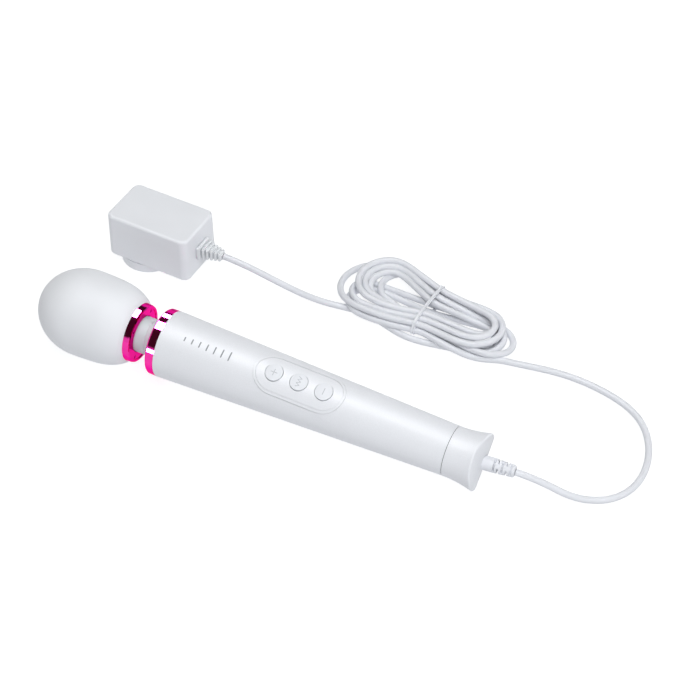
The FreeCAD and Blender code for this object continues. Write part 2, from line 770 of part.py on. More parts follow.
def plug_blades():
    """Two flat contact blades, folded into the recess."""
    blades = []
    half = BLADE_WIDTH / 2
    for side in (-1, 1):
        y = side * BLADE_PITCH / 2 - BLADE_THICK / 2
        root = Part.makeCylinder(half, BLADE_THICK, V(BLADE_PIVOT_X, y, BLADE_PIVOT_Z), Y_AXIS)
        bar = block(BLADE_PIVOT_X, BLADE_PIVOT_X + BLADE_LENGTH, y, y + BLADE_THICK,
                    BLADE_PIVOT_Z - half, BLADE_PIVOT_Z + half)
        tips = [e for e in bar.Edges if abs(e.CenterOfMass.x - BLADE_PIVOT_X - BLADE_LENGTH) < 0.01
                and abs(e.Vertexes[0].Y - e.Vertexes[1].Y) > 0.5]
        bar = bar.makeFillet(1.2, tips)
        blades.append(root.fuse(bar).removeSplitter().cut(hinge_rod(1.0 + RUNNING_GAP, 12)))
    return Part.makeCompound(blades)


def adapter_boot():
    """Strain relief with a rounded rectangular foot and tapering ribs."""
    x0 = CASE_LENGTH / 2 + (CASE_TOP - ADAPTER_BOOT_Z) * CASE_DRAFT + 0.12
    foot = block(x0, x0 + 2.8, -7.5, 7.5, -5.2, 5.2)
    foot = foot.makeFillet(1.0, foot.Edges)
    shapes = [foot, rod(x0 - 3.5, x0 + 18.4, 2.6)]
    ribs = 5
    for i in range(ribs):
        share = i / (ribs - 1)
        half_y = 6.2 - 2.6 * share
        half_z = 4.5 - 1.1 * share
        x = x0 + 3.7 + i * 2.95
        rib = block(x, x + 1.9, -half_y, half_y, -half_z, half_z)
        shapes.append(rib.makeFillet(0.8, rib.Edges))
        shapes.append(block(x - 1.2, x + 0.2, -half_y * 0.62, half_y * 0.62, -half_z * 0.72, half_z * 0.72))
    boot = fused(shapes)
    boot.translate(V(0, 0, ADAPTER_BOOT_Z))
    return boot


def adapter_board():
    return block(-28, 28, -16.4, 16.4, 14.0, 15.6)


def transformer_core():
    """Two E-shaped ferrite halves that close round the winding."""
    outer = block(-12, 10, -9, 9, 16.6, 33.0)
    windows = block(-9, -3.6, -10, 10, 19.6, 30.0).fuse(block(1.6, 7, -10, 10, 19.6, 30.0))
    return outer.cut(windows)


def transformer_winding():
    """Coil round the core's middle leg."""
    coil = block(-8.8, 6.8, -12.5, 12.5, 19.8, 29.8)
    leg = block(-3.65, 1.65, -9.05, 9.05, 18, 32)
    return coil.cut(leg)


def bulk_capacitors():
    return Part.makeCompound([post(-21.0, -7.5, 15.62, 35.0, 5.5), post(-21.0, 7.0, 15.62, 31.0, 5.0)])


def heat_sink():
    """Folded aluminium plate with the rectifier's fixing hole."""
    plate = block(14.0, 15.6, -12, 12, 15.62, 36.0).fuse(block(14.0, 20.0, -12, 12, 34.4, 36.0))
    return plate.cut(rod(10, 18, 1.6, 0, 27.0)).removeSplitter()


def adapter_fuse():
    """Glass fuse between two end caps, standing clear of the board in its clips."""
    return rod(-13.0, 8.0, 2.4, 15.3, 18.2)


# ---------------------------------------------------------------- build

def build_head():
    front, rear = head_shells()
    save_wand("head_cover", head_cover())
    save_wand("head_shell_front", front)
    save_wand("head_shell_rear", rear)
    save_wand("head_ring", head_ring())
    save_wand("head_ring_screws", head_ring_screws())
    save_wand("neck_socket_head", neck_socket_head())


def build_motor():
    shaft, core = rotor()
    save_wand("motor_can", motor_can())
    save_wand("motor_end_bell", motor_end_bell())
    save_wand("motor_magnets", motor_magnets())
    save_wand("shaft_bearings", bearings())
    save_wand("damping_sleeve", damping_sleeve())
    save_wand("rotor_shaft", shaft)
    save_wand("rotor_core", core)
    save_wand("eccentric_weight", eccentric_weight())
    save_wand("weight_set_screw", weight_screw())


def build_neck():
    sleeve, core, ring = neck_pieces()
    save_wand("neck_sleeve", sleeve)
    save_wand("neck_core", core)
    save_wand("neck_mid_ring", ring)
    save_wand("neck_socket_handle", neck_socket_handle())
    save_wand("motor_leads", motor_leads())


def build_handle():
    lower, upper = chassis()
    membrane, switches, board = keypad_parts()
    save_wand("collar_ring", collar_ring())
    save_wand("handle_tube", handle_tube())
    save_panel("panel_bezel", panel_bezel())
    save_panel("button_panel", button_panel())
    for x, name, index in zip(BUTTON_X, ("button_plus", "button_mode", "button_minus"), range(3)):
        save_panel(name, button(x, button_grooves(x)[index]))
    save_panel("keypad_membrane", membrane)
    save_panel("tact_switches", switches)
    save_panel("switch_board", board)
    save_panel("chassis_lower", lower)
    save_panel("chassis_upper", upper)
    save_panel("chassis_screws", chassis_screws())
    save_panel("main_board", main_board())
    save_panel("board_chips", board_chips())
    save_panel("board_capacitors", board_capacitors())


def build_tail():
    save_wand("tail_cap", tail_cap())
    save_wand("tail_gasket", tail_gasket())
    save_wand("tail_boot", tail_boot())
    save_wand("cord_clamp", cord_clamp())
    save_wand("cord_clamp_screws", clamp_screws())
    save_wand("inner_lead", inner_lead())
    save_wand("terminal_block", terminal_block())


def build_cord():
    save("cord_tail_side", cord_tube("cord_tail_side", TAIL_ROUTE))
    save("cord_adapter_side", cord_tube("cord_adapter_side", ADAPTER_ROUTE))
    save("cord_hank", cord_hank())
    save("hank_tie", hank_tie())


def build_adapter():
    save_adapter("adapter_case", adapter_case())
    save_adapter("adapter_base", adapter_base())
    save_adapter("plug_puck", plug_puck())
    save_adapter("blade_carrier", blade_carrier())
    save_adapter("plug_blades", plug_blades())
    save_adapter("blade_hinge_pin", hinge_rod(1.0, 10.5))
    save_adapter("adapter_boot", adapter_boot())
    save_adapter("adapter_board", adapter_board())
    save_adapter("transformer_core", transformer_core())
    save_adapter("transformer_winding", transformer_winding())
    save_adapter("bulk_capacitors", bulk_capacitors())
    save_adapter("heat_sink", heat_sink())
    save_adapter("adapter_fuse", adapter_fuse())


os.makedirs("parts", exist_ok=True)
build_head()
build_motor()
build_neck()
build_handle()
build_tail()
build_cord()
build_adapter()
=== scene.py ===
"""Looks of the handheld wand massager, its adapter and its tied hank of cord.

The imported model's own frame is in metres, with +Z up. Sizes here are in millimetres and turn
into metres with MM, apart from the stage's. The wand's axis and neck pivot come from the model's
joints, and wand stations are distances from the head's widest circle.
"""

import json
import math

import bpy
import numpy as np
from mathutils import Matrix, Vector


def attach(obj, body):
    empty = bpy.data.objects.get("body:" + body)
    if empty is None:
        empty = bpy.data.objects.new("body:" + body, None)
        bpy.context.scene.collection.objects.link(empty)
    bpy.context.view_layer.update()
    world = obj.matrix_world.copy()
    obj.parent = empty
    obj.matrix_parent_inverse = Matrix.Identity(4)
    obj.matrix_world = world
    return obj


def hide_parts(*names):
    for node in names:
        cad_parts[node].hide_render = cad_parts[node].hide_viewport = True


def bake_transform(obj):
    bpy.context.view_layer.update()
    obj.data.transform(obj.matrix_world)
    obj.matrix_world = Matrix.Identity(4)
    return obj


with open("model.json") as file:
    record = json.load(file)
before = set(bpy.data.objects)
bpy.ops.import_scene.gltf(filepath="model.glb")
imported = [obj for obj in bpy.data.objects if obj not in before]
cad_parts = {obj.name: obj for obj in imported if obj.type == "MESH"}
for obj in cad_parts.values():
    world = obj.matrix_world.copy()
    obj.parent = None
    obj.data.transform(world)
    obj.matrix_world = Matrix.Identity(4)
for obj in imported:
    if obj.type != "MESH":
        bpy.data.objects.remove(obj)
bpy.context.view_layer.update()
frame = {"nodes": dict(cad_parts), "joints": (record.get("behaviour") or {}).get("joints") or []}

MM = 0.001

# Wand, in millimetres along its own axis
NECK_PIVOT = 50.2
SLEEVE_R = 12.65
SLEEVE_FRONT = 40.4
SLEEVE_BACK = 61.5
RING_FACE = 43.5
COLLAR_FACE = 56.9
HANDLE_FRONT = 63.4
HANDLE_FRONT_R = 23.25
HANDLE_BACK = 268.6
HANDLE_BACK_R = 16.95

# Cord
CORD_D = 4.6
TAIL_ROUTE = [
    (183.3, 2.6, 17.95), (195.0, 3.6, 16.6), (206.0, 6.0, 11.8), (216.6, 9.0, 5.8),
    (227.2, 12.6, 2.6), (238.6, 17.6, 2.35), (247.4, 26.2, 2.35), (252.6, 38.0, 2.35),
    (253.9, 51.6, 2.35), (251.6, 66.2, 2.35), (246.2, 80.0, 2.35), (237.6, 92.2, 2.35),
    (226.4, 100.6, 2.35), (213.4, 105.8, 2.35), (199.6, 109.2, 2.35), (185.4, 111.0, 2.35),
    (171.0, 111.0, 2.35), (157.2, 109.4, 2.35), (144.2, 107.2, 2.35), (131.0, 105.4, 2.35),
]
ADAPTER_ROUTE = [
    (-74.7, 94.7, 25.2), (-60.0, 94.3, 24.2), (-45.5, 95.6, 19.6), (-31.0, 98.2, 13.2),
    (-17.0, 101.2, 7.0), (-3.0, 104.2, 2.9), (10.9, 106.0, 2.35),
]

# Hank: the lead climbs over the front turns, winds round, and leaves along the front
TIE_X = 71.3
HANK_ENTRY = [
    (121.0, 102.6, 2.4), (112.0, 100.6, 3.0), (102.5, 99.4, 4.8),
    (91.0, 99.6, 6.4), (81.0, 101.8, 6.0), (TIE_X, 104.2, 5.2),
]
HANK_EXIT = [(58.0, 98.9, 2.35), (46.0, 102.6, 2.35), (34.0, 106.0, 2.35), (22.0, 107.2, 2.35)]
# Each turn's end: side, centre x y, half width, half height, z at its start, end and finish,
# then the y and z of its next pass under the tie; rounded_end makes the ends nearly round
HANK_ENDS = [
    (-1, 32, 118, 21, 16, 3.6, 6.4, 3.2, 126.9, 3.6),
    (1, 105, 117.5, 20, 13.5, 2.35, 2.35, 2.35, 113.4, 3.4),
    (-1, 41, 136, 13.5, 15, 6, 7, 7, 140.2, 7.9),
    (1, 104, 118.5, 20.5, 20, 8, 9.8, 11, 105.5, 9.4),
    (-1, 26, 131.5, 25.5, 28.5, 7, 3.5, 2.35, 135.2, 7.4),
    (1, 104, 125, 15.5, 11.5, 8.5, 9.3, 10.5, 114.6, 13),
    (-1, 34, 132.5, 21.5, 22.5, 12.6, 13.2, 13.5, 139.6, 12.9),
    (1, 103, 118.8, 17.5, 14.8, 13.2, 13.6, 13.5, 109.6, 11.9),
    (-1, 31, 121.5, 19, 15, 8.5, 6, 3, 130.2, 6.9),
    (1, 113, 117.5, 22, 18, 2.6, 2.35, 6.6, 108.7, 3.4),
    (-1, 38, 133, 16.5, 16, 7.5, 8, 8.5, 128.9, 11.3),
    (1, 105, 118, 16.5, 11.5, 6, 5.6, 6.5, 111.2, 7.5),
    (-1, 36.5, 133.5, 19.5, 18, 10, 10.5, 11.2, 134.0, 11.9),
    (1, 109, 118, 19, 13.5, 5, 5.8, 3.2, 97.8, 2.35),
]
END_ANGLES = (-90, -54, -18, 18, 54, 90)
END_WIDEST = 1.1
END_EASED = 0.965
SMALL_END = 14.0
SMALL_END_EASED = 1.03
END_DECIMALS = 1
FRONT_BELLY = 2.0

# Settling: strands closer than a diameter push apart, and nothing goes under the floor
SETTLE_STEPS = 160
SETTLE_SPANS = 4
SETTLE_RATE = 1.6
NEIGHBOUR_ARC = 14.0
LEAST_GAP = 0.3
PUSHED_UP_TO = CORD_D / 2 + 0.05
LOWEST_LINE = CORD_D / 2 + 0.02
BEND_EASE = 0.08
SHIFT_KEPT = 0.99
LINE_SPANS = 8

PIECES_ON_CORD = [
    "tail_boot", "adapter_boot", "adapter_case", "adapter_base", "plug_puck", "blade_hinge_pin",
    "adapter_board", "transformer_core", "transformer_winding", "bulk_capacitors", "heat_sink",
    "adapter_fuse", "blade_carrier", "plug_blades",
]

joints = {j["name"]: j for j in frame["joints"]}
wand_axis = Vector(joints["rotor_spin"]["axis"]).normalized()
wand_up = Vector(joints["neck_yaw"]["axis"]).normalized()
wand_side = wand_up.cross(wand_axis)
wand_origin = Vector(joints["neck_pitch"]["pos_m"]) - wand_axis * NECK_PIVOT * MM


def on_wand(station, radius, angle):
    """Point in metres, from millimetres along the wand and off its axis, and an angle from its side."""
    off = wand_side * math.cos(angle) + wand_up * math.sin(angle)
    return wand_origin + (wand_axis * station + off * radius) * MM


# ---------------------------------------------------------------- materials

class Look:
    """A Principled material whose texture nodes work in the object's own coordinates."""

    def __init__(self, name, **sockets):
        self.material = bpy.data.materials.new(name)
        self.material.use_nodes = True
        self.nodes = self.material.node_tree.nodes
        self.links = self.material.node_tree.links
        self.shader = self.nodes["Principled BSDF"]
        self.place = self.nodes.new("ShaderNodeTexCoord").outputs["Object"]
        self.normal = None
        for socket, value in sockets.items():
            self.shader.inputs[socket.replace("_", " ")].default_value = value

    def stretched(self, scale):
        mapping = self.nodes.new("ShaderNodeMapping")
        mapping.inputs["Scale"].default_value = scale
        self.links.new(self.place, mapping.inputs["Vector"])
        return mapping.outputs["Vector"]

    def noise(self, scale, detail, stretch=(1, 1, 1)):
        node = self.nodes.new("ShaderNodeTexNoise")
        node.inputs["Scale"].default_value = scale
        node.inputs["Detail"].default_value = detail
        self.links.new(self.stretched(stretch), node.inputs["Vector"])
        return node.outputs["Fac"]

    def cells(self, scale, feature="F1"):
        node = self.nodes.new("ShaderNodeTexVoronoi")
        node.feature = feature
        node.inputs["Scale"].default_value = scale
        self.links.new(self.place, node.inputs["Vector"])
        return node.outputs["Distance"]

    def waves(self, scale, direction, distortion):
        node = self.nodes.new("ShaderNodeTexWave")
        node.bands_direction = direction
        node.inputs["Scale"].default_value = scale
        node.inputs["Distortion"].default_value = distortion
        self.links.new(self.place, node.inputs["Vector"])
        return node.outputs["Fac"]

    def ranged(self, value, low, high, start=0.3, end=0.7):
        node = self.nodes.new("ShaderNodeMapRange")
        node.inputs["From Min"].default_value = start
        node.inputs["From Max"].default_value = end
        node.inputs["To Min"].default_value = low
        node.inputs["To Max"].default_value = high
        self.links.new(value, node.inputs["Value"])
        return node.outputs["Result"]

    def colour(self, first, second, share):
        node = self.nodes.new("ShaderNodeMix")
        node.data_type = "RGBA"
        node.inputs["A"].default_value = (*first, 1)
        node.inputs["B"].default_value = (*second, 1)
        self.links.new(share, node.inputs["Factor"])
        self.links.new(node.outputs["Result"], self.shader.inputs["Base Color"])

    def roughness(self, value, low, high):
        self.links.new(self.ranged(value, low, high), self.shader.inputs["Roughness"])

    def bump(self, height, strength, depth):
        node = self.nodes.new("ShaderNodeBump")
        node.inputs["Strength"].default_value = strength
        node.inputs["Distance"].default_value = depth * MM
        self.links.new(height, node.inputs["Height"])
        if self.normal is not None:
            self.links.new(self.normal, node.inputs["Normal"])
        self.normal = node.outputs["Normal"]
        self.links.new(self.normal, self.shader.inputs["Normal"])


def shaded(colour, share):
    return tuple(c * share for c in colour)


def moulded(name, colour, rough, grain, relief, strength, **sockets):
    """Moulded plastic or rubber: faint clouds of tone, and a fine grain in gloss and relief."""
    look = Look(name, **sockets)
    look.colour(shaded(colour, 0.97), colour, look.ranged(look.noise(35, 2), 0, 1))
    fine = look.noise(grain, 4)
    look.roughness(fine, rough - 0.05, rough + 0.05)
    look.bump(fine, strength, relief)
    look.bump(look.noise(60, 2), 0.06, 0.1)
    return look.material


def metal(name, colour, rough, stretch=(1, 1, 1), grain=900, strength=0.12):
    """Bare or plated metal, with fine drawn lines where its grain is stretched."""
    look = Look(name, Metallic=1.0)
    look.colour(shaded(colour, 0.9), colour, look.ranged(look.noise(120, 3), 0, 1))
    lines = look.noise(grain, 5, stretch)
    look.roughness(lines, max(rough - 0.06, 0.02), rough + 0.06)
    look.bump(lines, strength, 0.01)
    return look.material


def pearl(name, colour):
    """Pearl lacquer: fine flakes under a clear coat, over a very shallow orange peel."""
    look = Look(name, Coat_Weight=0.12, Coat_Roughness=0.42, Specular_IOR_Level=0.47)
    flakes = look.ranged(look.cells(2600), 0, 1, 0.1, 0.6)
    look.colour(shaded(colour, 1.03), shaded(colour, 0.96), flakes)
    look.roughness(look.noise(1800, 3), 0.47, 0.55)
    look.bump(look.cells(2600), 0.05, 0.01)
    look.bump(look.noise(160, 2), 0.05, 0.05)
    return look.material


def lacquered_pink(name):
    """Vacuum-plated metal under a tinted lacquer."""
    look = Look(name, Metallic=1.0, Coat_Weight=0.06, Coat_Roughness=0.02,
                Specular_Tint=(1, 0.1, 0.5, 1))
    look.colour((0.76, 0.034, 0.31), (0.85, 0.042, 0.36), look.ranged(look.noise(90, 2), 0, 1))
    lines = look.noise(700, 4, (1, 0.15, 0.15))
    look.roughness(lines, 0.03, 0.07)
    look.bump(lines, 0.02, 0.004)
    return look.material


def jacket(name, colour):
    """PVC cord jacket: satin, with a fine drawn grain."""
    look = Look(name, Specular_IOR_Level=0.35)
    look.colour(shaded(colour, 0.96), colour, look.ranged(look.noise(55, 2), 0, 1))
    fine = look.noise(2200, 4)
    look.roughness(fine, 0.42, 0.52)
    look.bump(fine, 0.12, 0.02)
    look.bump(look.noise(240, 2), 0.1, 0.05)
    return look.material


def circuit_board(name):
    look = Look(name, Roughness=0.35, Coat_Weight=0.5)
    tracks = look.ranged(look.cells(260, "SMOOTH_F1"), 0, 1, 0.35, 0.45)
    look.colour((0.02, 0.14, 0.07), (0.04, 0.24, 0.12), tracks)
    look.roughness(look.noise(900, 2), 0.3, 0.42)
    look.bump(tracks, 0.3, 0.03)
    return look.material


def winding(name):
    look = Look(name, Metallic=0.9, Coat_Weight=0.6)
    turns = look.waves(420, "Z", 0.4)
    look.colour((0.42, 0.16, 0.06), (0.75, 0.36, 0.16), turns)
    look.roughness(turns, 0.24, 0.4)
    look.bump(turns, 0.7, 0.15)
    return look.material


def make_materials():
    across = (0.04, 1, 1)
    return {
        "silicone": moulded("silicone", (0.815, 0.83, 0.86),
                            rough=0.58, grain=2400, relief=0.02, strength=0.2,
                            Sheen_Weight=0.08, Sheen_Roughness=0.5, Specular_IOR_Level=0.25),
        "pink_metal": lacquered_pink("pink_metal"),
        "pearl": pearl("pearl", (0.80, 0.815, 0.85)),
        "panel": pearl("panel", (0.81, 0.825, 0.86)),
        "key": moulded("key", (0.755, 0.775, 0.81),
                       rough=0.48, grain=2600, relief=0.01, strength=0.1, Specular_IOR_Level=0.25),
        "neck_rubber": moulded("neck_rubber", (0.66, 0.755, 0.76),
                               rough=0.55, grain=1800, relief=0.03, strength=0.2),
        "dark_rubber": moulded("dark_rubber", (0.03, 0.03, 0.033),
                               rough=0.6, grain=900, relief=0.04, strength=0.3),
        "inner_plastic": moulded("inner_plastic", (0.55, 0.57, 0.6),
                                 rough=0.5, grain=700, relief=0.04, strength=0.25),
        "black_plastic": moulded("black_plastic", (0.02, 0.02, 0.024),
                                 rough=0.42, grain=700, relief=0.03, strength=0.25),
        "steel": metal("steel", (0.56, 0.57, 0.59), rough=0.26, stretch=across),
        "screw_steel": metal("screw_steel", (0.62, 0.62, 0.65), rough=0.3, grain=1500),
        "bronze": metal("bronze", (0.55, 0.33, 0.16), rough=0.42, grain=2600, strength=0.3),
        "copper": winding("copper"),
        "board": circuit_board("board"),
        "ferrite": moulded("ferrite", (0.035, 0.034, 0.036),
                           rough=0.66, grain=1900, relief=0.05, strength=0.4),
        "aluminium": metal("aluminium", (0.72, 0.73, 0.75), rough=0.34, stretch=across),
        "nickel": metal("nickel", (0.66, 0.63, 0.56), rough=0.2, stretch=across),
        "cord": jacket("cord", (0.765, 0.78, 0.82)),
        "adapter": moulded("adapter", (0.82, 0.837, 0.87),
                           rough=0.42, grain=1500, relief=0.02, strength=0.14),
        "adapter_boot": moulded("adapter_boot", (0.75, 0.77, 0.79),
                                rough=0.4, grain=1800, relief=0.02, strength=0.12),
        "glass": moulded("glass", (0.8, 0.85, 0.86),
                         rough=0.12, grain=900, relief=0.005, strength=0.05, Transmission_Weight=0.8),
        "mark": moulded("mark", (0.3, 0.31, 0.33),
                        rough=0.6, grain=2600, relief=0.005, strength=0.05, Specular_IOR_Level=0.1),
        "symbol": moulded("symbol", (0.46, 0.48, 0.51),
                          rough=0.5, grain=2600, relief=0.01, strength=0.1),
    }


materials = make_materials()


def dress_cad_nodes():
    """Each CAD node takes the material of its record's slot, apart from the ones named here."""
    own = {"adapter_boot": "adapter_boot"}
    for node, obj in frame["nodes"].items():
        for slot in obj.material_slots:
            base = slot.material.name.split(".")[0]
            slot.material = materials[own.get(node, base)]


# ---------------------------------------------------------------- mesh helpers

def mesh_object(name, points, faces, material, smooth=True):
    mesh = bpy.data.meshes.new(name)
    mesh.from_pydata([tuple(p) for p in points], [], faces)
    mesh.validate()
    mesh.update()
    if smooth:
        mesh.polygons.foreach_set("use_smooth", [True] * len(mesh.polygons))
    obj = bpy.data.objects.new(name, mesh)
    bpy.context.scene.collection.objects.link(obj)
    mesh.materials.append(materials[material])
    return obj


def ring_faces(rings, size, closed_rings=False):
    """Quads between neighbouring closed rings of points."""
    faces = []
    for i in range(rings if closed_rings else rings - 1):
        j = (i + 1) % rings
        for k in range(size):
            m = (k + 1) % size
            faces.append((i * size + k, i * size + m, j * size + m, j * size + k))
    return faces


# ---------------------------------------------------------------- cord

def rounded_end(side, centre_x, half_x, half_y):
    """Centre, half width and half height of a turn's end made nearly round, its tip kept."""
    tip = centre_x + side * half_x
    width = min(half_x, half_y * END_WIDEST)
    share = SMALL_END_EASED if side > 0 and half_y < SMALL_END else END_EASED
    return [round(value, END_DECIMALS) for value in (tip - side * width, width, half_y * share)]


def hank_points():
    """Control points of the wound part: six round each end, two on the way and one at the tie."""
    points = list(HANK_ENTRY)
    for side, chosen_x, cy, wide, high, z_in, z_end, z_out, next_y, next_z in HANK_ENDS:
        cx, half_x, half_y = rounded_end(side, chosen_x, wide, high)
        arc = []
        for degrees in END_ANGLES:
            turn = math.radians(degrees)
            share = abs(degrees) / END_ANGLES[-1]
            z_side = z_in if degrees < 0 else z_out
            arc.append((cx + side * half_x * math.cos(turn), cy - side * half_y * math.sin(turn),
                        z_end + (z_side - z_end) * share))
        slot = (TIE_X, next_y, next_z)
        before = [0.5 * (p + q) for p, q in zip(points[-1], arc[0])]
        if side < 0:
            before[1] -= FRONT_BELLY
        after = [0.5 * (p + q) for p, q in zip(arc[-1], slot)]
        points += [tuple(before)] + arc + [tuple(after), slot]
    return points + HANK_EXIT


def spline_weights(count, per_span):
    """Rows of weights that turn control points into points of the clamped quadratic spline."""
    knots = [0, 0] + list(range(count - 1)) + [count - 2, count - 2]
    places = np.linspace(0, count - 2, (count - 2) * per_span + 1)
    places[-1] -= 1e-9
    rows = np.zeros((len(places), count))
    for row, place in zip(rows, places):
        last = int(place) + 2
        weights = [1.0]
        for degree in (1, 2):
            raised = [0.0] * (degree + 1)
            for j, weight in enumerate(weights):
                low = knots[last - degree + 1 + j]
                high = knots[last + 1 + j]
                share = (place - low) / (high - low) if high > low else 0.0
                raised[j] += (1 - share) * weight
                raised[j + 1] += share * weight
            weights = raised
        row[last - 2:last + 1] = weights
    return rows


def settle(control, first, last):
    """Strands that lie in each other push apart, moving only the control points of the hank."""
    start = np.array(control, float)
    moved = start.copy()
    weights = spline_weights(len(start), SETTLE_SPANS)
    total = weights.sum(0)[:, None]
    for _ in range(SETTLE_STEPS):
        line = weights @ moved
        along = np.concatenate([[0], np.cumsum(np.linalg.norm(np.diff(line, axis=0), axis=1))])
        apart = line[:, None] - line[None]
        gap = np.linalg.norm(apart, axis=2)
        near = (gap < CORD_D) & (np.abs(along[:, None] - along[None]) > NEIGHBOUR_ARC)
        push = np.where(near, (CORD_D - gap) / np.maximum(gap, LEAST_GAP), 0.0)
        force = 0.5 * (push[:, :, None] * apart).sum(1) / np.maximum(near.sum(1), 1)[:, None]
        force[:, 2] += np.maximum(PUSHED_UP_TO - line[:, 2], 0)
        moved[first:last] += (weights.T @ force / total * SETTLE_RATE)[first:last]
        shift = moved - start
        bend = np.zeros_like(shift)
        bend[1:-1] = shift[:-2] - 2 * shift[1:-1] + shift[2:]
        shift[first:last] = (shift[first:last] + BEND_EASE * bend[first:last]) * SHIFT_KEPT
        moved = start + shift
    moved[:, 2] = np.maximum(moved[:, 2], LOWEST_LINE)
    return moved


def make_cord():
    """One spline from the tail's boot, through the hank, to the adapter's boot."""
    wound = hank_points()
    control = TAIL_ROUTE + wound + ADAPTER_ROUTE[::-1]
    settled = settle(control, len(TAIL_ROUTE), len(TAIL_ROUTE) + len(wound))
    curve = bpy.data.curves.new("cord", "CURVE")
    curve.dimensions = "3D"
    curve.resolution_u = 6
    curve.bevel_depth = CORD_D / 2 * MM
    curve.bevel_resolution = 6
    spline = curve.splines.new("NURBS")
    spline.points.add(len(settled) - 1)
    for point, place in zip(spline.points, settled):
        point.co = (*(place * MM), 1)
    spline.order_u = 3
    spline.use_endpoint_u = True
    obj = bpy.data.objects.new("cord", curve)
    bpy.context.scene.collection.objects.link(obj)
    curve.materials.append(materials["cord"])
    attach(obj, "handle")
    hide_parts("cord_tail_side", "cord_adapter_side", "cord_hank")
    return obj, spline_weights(len(settled), LINE_SPANS) @ settled


# ---------------------------------------------------------------- tie

TIE_WIDTH = 2.6
TIE_SLANT = 0.1
TIE_MID = (69.6, 121.0)
TIE_STATIONS = 120
OUTSIDE_STRAND_Y = 100.5
STRAND_STATIONS = 48
TIE_SLACK = 0.1
TIE_LOWEST = 0.2
TIE_SECTION = [(-1.0, 0.0), (-1.0, 0.62), (-0.72, 0.9), (-0.42, 0.62), (-0.28, 0.5),
               (0.28, 0.5), (0.42, 0.62), (0.72, 0.9), (1.0, 0.62), (1.0, 0.0)]


def tie_x(y):
    return TIE_MID[0] + TIE_SLANT * (y - TIE_MID[1])


def strands_in_tie(line):
    """Where the strands pass through the tie's slanted plane."""
    places = []
    for a, b in zip(line[:-1], line[1:]):
        side_a, side_b = a[0] - tie_x(a[1]), b[0] - tie_x(b[1])
        if side_a * side_b < 0 and min(a[1], b[1]) > OUTSIDE_STRAND_Y:
            share = side_a / (side_a - side_b)
            places.append((a + (b - a) * share)[1:])
    return places


def convex_hull(points):
    """Corners of the hull, anticlockwise."""
    points = sorted(map(tuple, points))
    halves = []
    for order in (points, points[::-1]):
        chain = []
        for p in order:
            while len(chain) > 1 and (
                (chain[-1][0] - chain[-2][0]) * (p[1] - chain[-2][1])
                - (chain[-1][1] - chain[-2][1]) * (p[0] - chain[-2][0])
            ) <= 0:
                chain.pop()
            chain.append(p)
        halves += chain[:-1]
    return np.array(halves)


def even_loop(corners, count):
    """Points an equal way apart round a closed outline."""
    closed = np.vstack([corners, corners[:1]])
    along = np.concatenate([[0], np.cumsum(np.linalg.norm(np.diff(closed, axis=0), axis=1))])
    places = np.linspace(0, along[-1], count, endpoint=False)
    return np.stack([np.interp(places, along, closed[:, k]) for k in (0, 1)], axis=1)


def make_tie(line):
    """Ribbed band drawn tight round every strand but the one that lies outside it."""
    angles = np.linspace(0, 2 * math.pi, STRAND_STATIONS, endpoint=False)
    reach = CORD_D / 2 + TIE_SLACK
    rim = [(y + reach * math.cos(a), z + reach * math.sin(a))
           for y, z in strands_in_tie(line) for a in angles]
    loop = even_loop(convex_hull(rim), TIE_STATIONS)
    ahead = np.roll(loop, -2, axis=0) - np.roll(loop, 2, axis=0)
    ahead /= np.linalg.norm(ahead, axis=1)[:, None]
    points = []
    for (y, z), (dy, dz) in zip(loop, ahead):
        for across, out in TIE_SECTION:
            out_y, out_z = y + dz * out, max(z - dy * out, TIE_LOWEST)
            points.append(Vector((tie_x(y) + across * TIE_WIDTH / 2, out_y, out_z)) * MM)
    faces = ring_faces(TIE_STATIONS, len(TIE_SECTION), closed_rings=True)
    tie = mesh_object("hank_band", points, faces, "cord")
    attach(tie, "handle")
    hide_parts("hank_tie")
    return tie


# ---------------------------------------------------------------- neck

SWELL_SPREAD = 0.9
SWELL_INSET = 0.4
HALF_STEPS = 24
# Each soft tube: its ends, the stations where its bend stops, its points round, and how far
# above the wand's axis each of its strands lies
NECK_TUBES = {
    "neck_sleeve": {"radius": SLEEVE_R, "swell": 0.12, "bore": 10.85, "slot": "neck_rubber",
                    "front": SLEEVE_FRONT, "back": SLEEVE_BACK, "turn_front": RING_FACE,
                    "turn_back": COLLAR_FACE, "around": 96, "lifts": (0,)},
    "neck_core": {"radius": 9.0, "swell": 0, "bore": 5.5, "slot": "dark_rubber",
                  "front": 43.3, "back": 57.4, "turn_front": 45.7,
                  "turn_back": 55.0, "around": 64, "lifts": (0,)},
    "motor_leads": {"radius": 0.8, "swell": 0, "bore": 0.3, "slot": "copper",
                    "front": 35.5, "back": 72.0, "turn_front": 45.7,
                    "turn_back": 55.0, "around": 16, "lifts": (-1.4, 1.4)},
}


def tube_radius(tube, station):
    """Plain tube, with a soft swell where it meets the ring and the collar."""
    bumps = sum(math.exp(-((station - end) / SWELL_SPREAD) ** 2)
                for end in (RING_FACE + SWELL_INSET, COLLAR_FACE - SWELL_INSET))
    return tube["radius"] - tube["swell"] + tube["swell"] * bumps


def bent_half(name, tube, start, end):
    """Half of a soft tube, or of two side by side, from its outer wall round to its bore."""
    stations = [start + (end - start) * i / HALF_STEPS for i in range(HALF_STEPS + 1)]
    outline = [(s, tube_radius(tube, s)) for s in stations] + [(s, tube["bore"]) for s in stations[::-1]]
    around = tube["around"]
    points, faces = [], []
    for lift in tube["lifts"]:
        faces += [tuple(len(points) + n for n in face)
                  for face in ring_faces(len(outline), around, closed_rings=True)]
        points += [on_wand(s, r, 2 * math.pi * k / around) + wand_up * lift * MM
                   for s, r in outline for k in range(around)]
    half = mesh_object(name, points, faces, tube["slot"])
    return half


